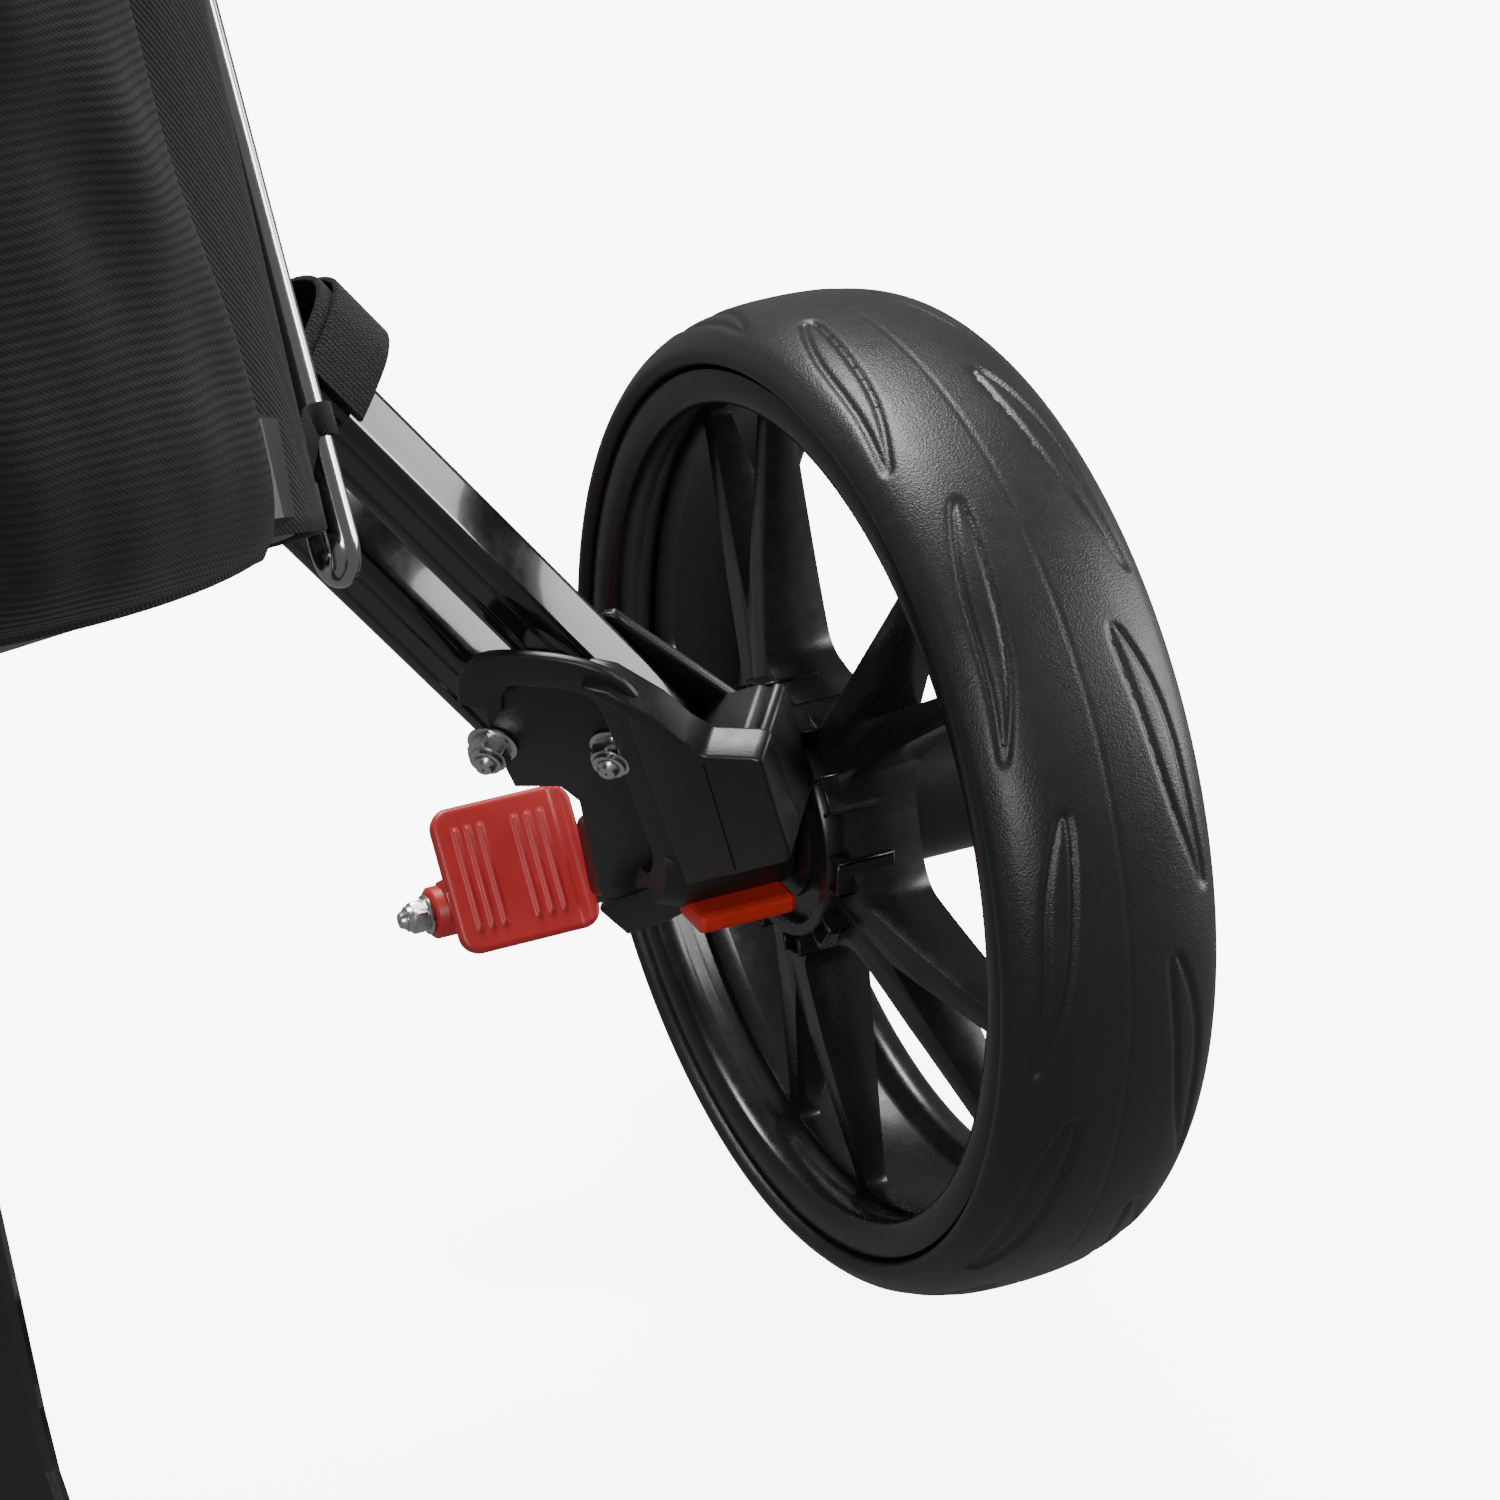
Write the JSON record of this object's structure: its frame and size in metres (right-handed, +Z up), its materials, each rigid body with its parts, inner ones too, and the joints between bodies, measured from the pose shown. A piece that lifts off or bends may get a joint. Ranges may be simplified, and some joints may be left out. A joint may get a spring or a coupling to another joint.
{
  "type": "golf bag on push cart",
  "caption": "Golf bag strapped on a folding three-wheel push cart with paired-tube legs, foot brake, loop handle and console.",
  "frame": {"origin": "centre of the bounding box in X and Y, on the ground", "axes": "+Z up, the front wheel is towards -Y, the handle towards +Y, the braked rear wheel is at +X"},
  "size_m": [0.737, 1.3482, 1.1966],
  "materials": {
    "tyre_foam": "satin charcoal foam tread",
    "rim_plastic": "gloss black moulding",
    "black_plastic": "fine-textured black",
    "painted_tube": "gloss black anodised and lacquered",
    "zinc_steel": "bright zinc",
    "bright_rod": "polished",
    "red_plastic": "satin red",
    "bag_fabric": "charcoal ribbed weave",
    "webbing": "black webbing",
    "grip_foam": "soft foam"
  },
  "bodies": {
    "frame_and_bag": {"lower_tube": "painted_tube", "upper_tube": "painted_tube", "leg_hub": "black_plastic", "front_fork": "black_plastic", "front_axle": "zinc_steel", "lower_bracket": "black_plastic", "upper_bracket": "black_plastic", "clamp_housing": "black_plastic", "clamp_pin": "zinc_steel", "handle_fork": "black_plastic", "handle_bolt": "zinc_steel", "console_tray": "black_plastic", "cup_holder": "black_plastic", "bag_shell": "bag_fabric", "bag_base": "black_plastic", "bag_cuff": "black_plastic", "front_pocket": "bag_fabric", "upper_pocket": "bag_fabric", "side_pocket_l": "bag_fabric", "side_pocket_r": "bag_fabric", "carry_handle": "webbing", "upper_strap": "webbing", "bag_rod_l": "bright_rod", "bag_rod_r": "bright_rod", "hub_bolt_upper_l": "zinc_steel", "hub_bolt_upper_r": "zinc_steel", "hub_bolt_lower_l": "zinc_steel", "hub_bolt_lower_r": "zinc_steel"},
    "front_wheel": {"front_tyre": "tyre_foam", "front_rim": "rim_plastic"},
    "handle": {"handle": "painted_tube", "handle_grip": "grip_foam"},
    "clamp_lever": {"clamp_lever": "red_plastic"},
    "console_lid": {"console_lid": "black_plastic"},
    "brake_pedal": {"brake_pedal": "red_plastic"},
    "upper_leg_l": {"upper_leg_l": "painted_tube", "leg_strap": "webbing"},
    "lower_leg_l": {"lower_leg_l": "painted_tube"},
    "knuckle_l": {"knuckle_l": "black_plastic", "rear_axle_l": "zinc_steel", "knuckle_bolt_upper_l": "zinc_steel", "knuckle_bolt_lower_l": "zinc_steel", "brake_bolt": "zinc_steel"},
    "release_latch_l": {"release_latch_l": "red_plastic"},
    "rear_wheel_l": {"rear_tyre_l": "tyre_foam", "rear_rim_l": "rim_plastic", "rear_cap_l": "black_plastic"},
    "upper_leg_r": {"upper_leg_r": "painted_tube"},
    "lower_leg_r": {"lower_leg_r": "painted_tube"},
    "knuckle_r": {"knuckle_r": "black_plastic", "rear_axle_r": "zinc_steel", "knuckle_bolt_upper_r": "zinc_steel", "knuckle_bolt_lower_r": "zinc_steel"},
    "release_latch_r": {"release_latch_r": "red_plastic"},
    "rear_wheel_r": {"rear_tyre_r": "tyre_foam", "rear_rim_r": "rim_plastic", "rear_cap_r": "black_plastic"}
  },
  "joints": [
    {"name": "front_wheel_spin", "type": "hinge", "parent": "frame_and_bag", "child": "front_wheel", "pos_m": [0, -0.55411, 0.12], "axis": [1, 0, 0], "continuous": true},
    {"name": "leg_fold_l", "type": "hinge", "parent": "frame_and_bag", "child": "upper_leg_l", "pos_m": [0.07013, 0.03657, 0.42295], "axis": [0.6176, 0.6786, 0.3976], "range_deg": [0, 35]},
    {"name": "lower_leg_l", "type": "hinge", "parent": "frame_and_bag", "child": "lower_leg_l", "pos_m": [0.04488, 0.06273, 0.41751], "axis": [0.6176, 0.6786, 0.3976], "range_deg": [0, 35]},
    {"name": "knuckle_turn_l", "type": "hinge", "parent": "upper_leg_l", "child": "knuckle_l", "pos_m": [0.25, 0.00649, 0.1949], "axis": [0.6176, 0.6786, 0.3976], "range_deg": [-35, 0]},
    {"name": "rear_wheel_spin_l", "type": "hinge", "parent": "knuckle_l", "child": "rear_wheel_l", "pos_m": [0.33, 0.01089, 0.145], "axis": [1, 0, 0], "continuous": true},
    {"name": "latch_slide_l", "type": "slide", "parent": "knuckle_l", "child": "release_latch_l", "axis": [-1, 0, 0], "range_m": [0, 0.006], "stiffness_N_per_m": 300, "springref_m": -0.002},
    {"name": "leg_fold_r", "type": "hinge", "parent": "frame_and_bag", "child": "upper_leg_r", "pos_m": [-0.07013, 0.03657, 0.42295], "axis": [0.6176, -0.6786, -0.3976], "range_deg": [0, 35]},
    {"name": "lower_leg_r", "type": "hinge", "parent": "frame_and_bag", "child": "lower_leg_r", "pos_m": [-0.04488, 0.06273, 0.41751], "axis": [0.6176, -0.6786, -0.3976], "range_deg": [0, 35]},
    {"name": "knuckle_turn_r", "type": "hinge", "parent": "upper_leg_r", "child": "knuckle_r", "pos_m": [-0.25, 0.00649, 0.1949], "axis": [0.6176, -0.6786, -0.3976], "range_deg": [-35, 0]},
    {"name": "rear_wheel_spin_r", "type": "hinge", "parent": "knuckle_r", "child": "rear_wheel_r", "pos_m": [-0.33, 0.01089, 0.145], "axis": [1, 0, 0], "continuous": true},
    {"name": "latch_slide_r", "type": "slide", "parent": "knuckle_r", "child": "release_latch_r", "axis": [1, 0, 0], "range_m": [0, 0.006], "stiffness_N_per_m": 300, "springref_m": -0.002},
    {"name": "brake_pedal_press", "type": "hinge", "parent": "knuckle_l", "child": "brake_pedal", "pos_m": [0.245, 0.08749, 0.093], "axis": [1, 0, 0], "range_deg": [-12, 0]},
    {"name": "clamp_lever_open", "type": "hinge", "parent": "frame_and_bag", "child": "clamp_lever", "pos_m": [0, 0.32589, 0.87739], "axis": [1, 0, 0], "range_deg": [0, 100]},
    {"name": "handle_tilt", "type": "hinge", "parent": "frame_and_bag", "child": "handle", "pos_m": [0, 0.43818, 1.13587], "axis": [1, 0, 0], "range_deg": [-25, 25]},
    {"name": "console_lid_open", "type": "hinge", "parent": "frame_and_bag", "child": "console_lid", "pos_m": [0, 0.36045, 1.13225], "axis": [-1, 0, 0], "range_deg": [0, 100]}
  ],
  "couplings": [
    {"joint": "lower_leg_l", "follows": "leg_fold_l", "ratio": 1},
    {"joint": "knuckle_turn_l", "follows": "leg_fold_l", "ratio": -1},
    {"joint": "lower_leg_r", "follows": "leg_fold_r", "ratio": 1},
    {"joint": "knuckle_turn_r", "follows": "leg_fold_r", "ratio": -1}
  ]
}
